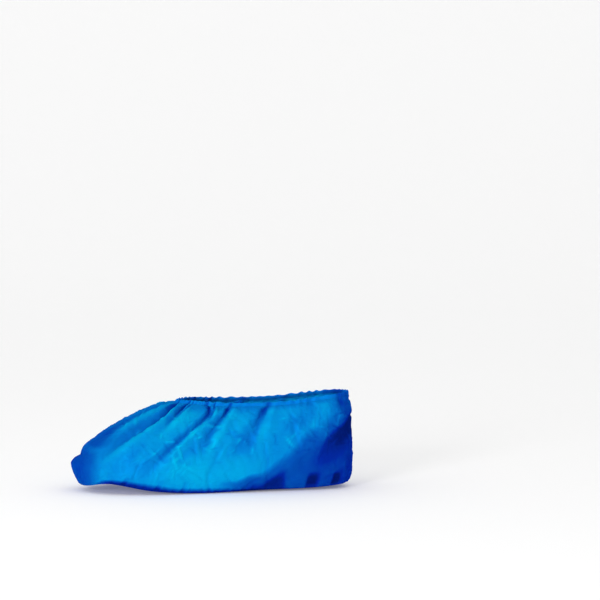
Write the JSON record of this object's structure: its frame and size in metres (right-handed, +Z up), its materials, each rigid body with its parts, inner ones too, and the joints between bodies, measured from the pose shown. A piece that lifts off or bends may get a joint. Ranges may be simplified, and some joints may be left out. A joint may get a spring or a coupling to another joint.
{
  "type": "disposable shoe cover",
  "caption": "Slip-on overshoe of thin blue film, in its worn form: a hollow foot with a puckered vamp, a gathered elastic hem round the mouth and a slack toe.",
  "frame": {"origin": "on the inner face of the sole, mid-way between toe and heel, where the sole of the foot stands", "axes": "+X from toe to heel, +Y to the far side of the foot, +Z up out of the mouth"},
  "size_m": [0.2889, 0.1184, 0.1003],
  "materials": {
    "blue_film": "soft-gloss crumpled polyethylene film",
    "hem_film": "gathered film welded over a thin elastic"
  },
  "bodies": {
    "root": {"toe_film": "blue_film", "heel_film": "blue_film", "toe_sole": "blue_film", "heel_sole": "blue_film", "elastic_hem": "hem_film"}
  },
  "joints": []
}
